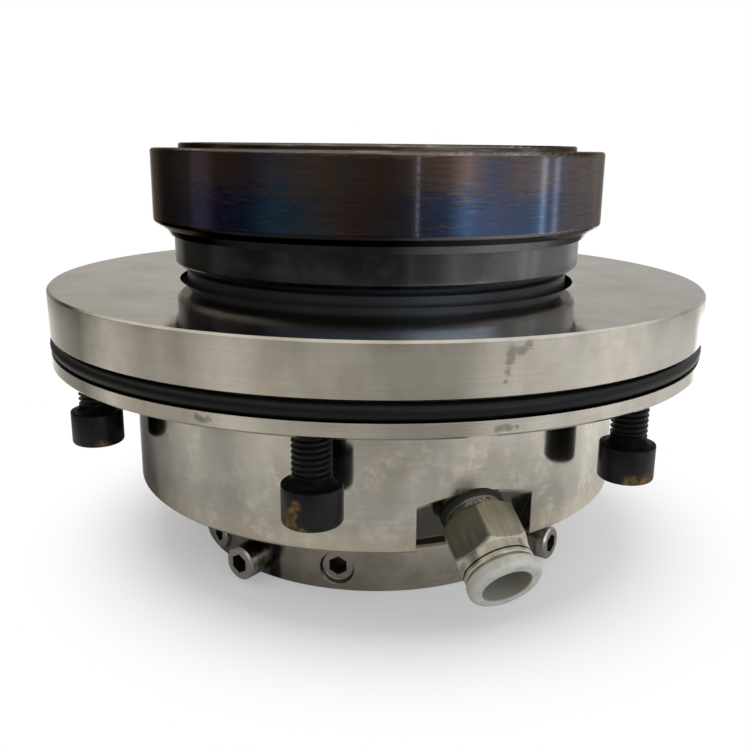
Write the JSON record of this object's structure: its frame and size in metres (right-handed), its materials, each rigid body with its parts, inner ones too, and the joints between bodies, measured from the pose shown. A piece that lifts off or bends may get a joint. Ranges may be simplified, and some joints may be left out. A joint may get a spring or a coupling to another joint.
{
  "type": "cartridge mechanical seal",
  "caption": "Cartridge mechanical shaft seal: flanged gland with socket screws and a tilted tube fitting, wide rotating ring above, drive collar with set screws below.",
  "frame": {"origin": "on the shaft axis, at the drive collar's outer face, which it stands on", "axes": "+Z along the shaft axis towards the pump; -Y is the front, with the tube fitting 20.3 degrees from it towards +X"},
  "size_m": [0.2405, 0.2404, 0.1476],
  "materials": {
    "polished_steel": "turned and polished stainless steel",
    "tinted_steel": "heat-tinted stainless steel with temper colours",
    "collar_steel": "turned steel",
    "black_oxide": "black oxide steel, with a little rust",
    "black_rubber": "smooth black rubber",
    "silicon_carbide": "lapped silicon carbide",
    "carbon": "lapped carbon graphite",
    "spring_steel": "drawn wire",
    "nickel_plate": "bright nickel plate on brass",
    "button_polymer": "smooth off-white polymer",
    "washer_polymer": "smooth polymer"
  },
  "bodies": {
    "gland": {"gland_plate": "polished_steel", "flange_o_ring": "black_rubber", "gland_screws": "black_oxide", "throttle_bush": "carbon", "bush_clip": "spring_steel", "seat_springs": "spring_steel", "seat_pins": "collar_steel", "fitting_body": "nickel_plate", "fitting_washer": "washer_polymer", "tube_o_ring": "black_rubber", "grip_ring": "spring_steel"},
    "rotor": {"shaft_sleeve": "collar_steel", "shaft_o_ring": "black_rubber", "rotor_holder": "tinted_steel", "holder_o_ring": "black_rubber", "holder_screws": "black_oxide", "impeller_o_ring": "black_rubber", "rotary_face": "silicon_carbide", "drive_collar": "collar_steel", "clamp_screws": "black_oxide", "proud_screws": "black_oxide", "drive_screws": "black_oxide"},
    "seat": {"stationary_face": "carbon", "seat_carrier": "collar_steel", "seat_o_ring": "black_rubber"},
    "button": {"release_button": "button_polymer"}
  },
  "joints": [
    {"name": "rotor_spin", "type": "hinge", "parent": "gland", "child": "rotor", "pos_m": [0, 0, 0], "axis": [0, 0, 1], "continuous": true},
    {"name": "seat_float", "type": "slide", "parent": "gland", "child": "seat", "axis": [0, 0, 1], "range_m": [-0.0025, 0], "stiffness_N_per_m": 40000, "springref_m": 0.003, "deforming": ["seat_springs"]},
    {"name": "button_press", "type": "slide", "parent": "gland", "child": "button", "axis": [-0.2982, 0.806, 0.5113], "range_m": [0, 0.0008], "stiffness_N_per_m": 3000, "springref_m": -0.001}
  ]
}
